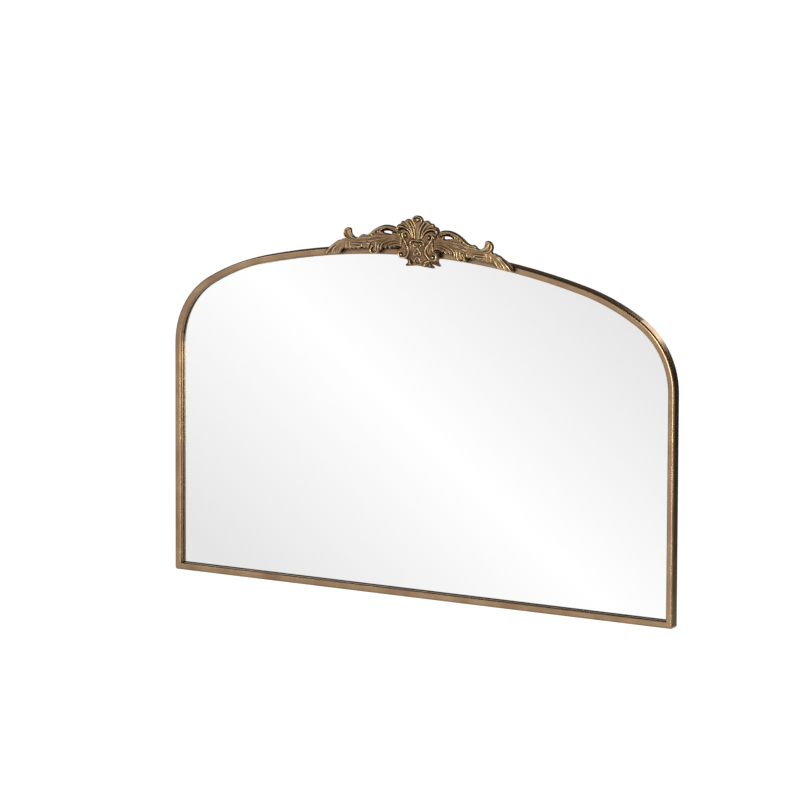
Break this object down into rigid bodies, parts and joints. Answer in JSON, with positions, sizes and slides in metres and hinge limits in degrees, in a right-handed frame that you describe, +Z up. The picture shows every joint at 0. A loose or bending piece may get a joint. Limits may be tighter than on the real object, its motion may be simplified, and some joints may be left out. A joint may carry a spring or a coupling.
{
  "type": "arched wall mirror",
  "caption": "Wide arched wall mirror in a slim brass-coloured tube frame, with a cast acanthus crest on top and D-ring hangers on the back.",
  "frame": {"origin": "centre of the bottom rail's underside, midway through the frame's depth", "axes": "+X to the right seen from the front, +Y from the front towards the wall, +Z up"},
  "size_m": [0.914, 0.0395, 0.6212],
  "materials": {
    "frame_finish": "brushed antique brass paint over steel",
    "crest_casting": "cast, dark patina in the recesses, rubbed ridges",
    "silvered_glass": "float glass, silvered back",
    "foam_tape": "white foam",
    "fibreboard": "raw medium density board",
    "zinc_steel": "bright zinc plate",
    "bumper_rubber": "moulded"
  },
  "bodies": {
    "mirror": {"arch_tube": "frame_finish", "bottom_tube": "frame_finish", "mirror_glass": "silvered_glass", "adhesive_tape": "foam_tape", "backing_board": "fibreboard", "board_tabs": "zinc_steel", "board_screws": "zinc_steel", "hanger_strap_left": "zinc_steel", "hanger_strap_right": "zinc_steel", "hanger_screws": "zinc_steel", "wall_bumper_left": "bumper_rubber", "wall_bumper_right": "bumper_rubber", "crest_cartouche": "crest_casting", "crest_wing_left": "crest_casting", "crest_wing_right": "crest_casting", "crest_screws": "zinc_steel"},
    "left_ring": {"hanger_ring_left": "zinc_steel"},
    "right_ring": {"hanger_ring_right": "zinc_steel"}
  },
  "joints": [
    {"name": "left_ring_hinge", "type": "hinge", "parent": "mirror", "child": "left_ring", "pos_m": [-0.449, 0.01128, 0.356], "axis": [1, 0, 0], "range_deg": [0, 176]},
    {"name": "right_ring_hinge", "type": "hinge", "parent": "mirror", "child": "right_ring", "pos_m": [0.449, 0.01128, 0.356], "axis": [1, 0, 0], "range_deg": [0, 176]}
  ]
}
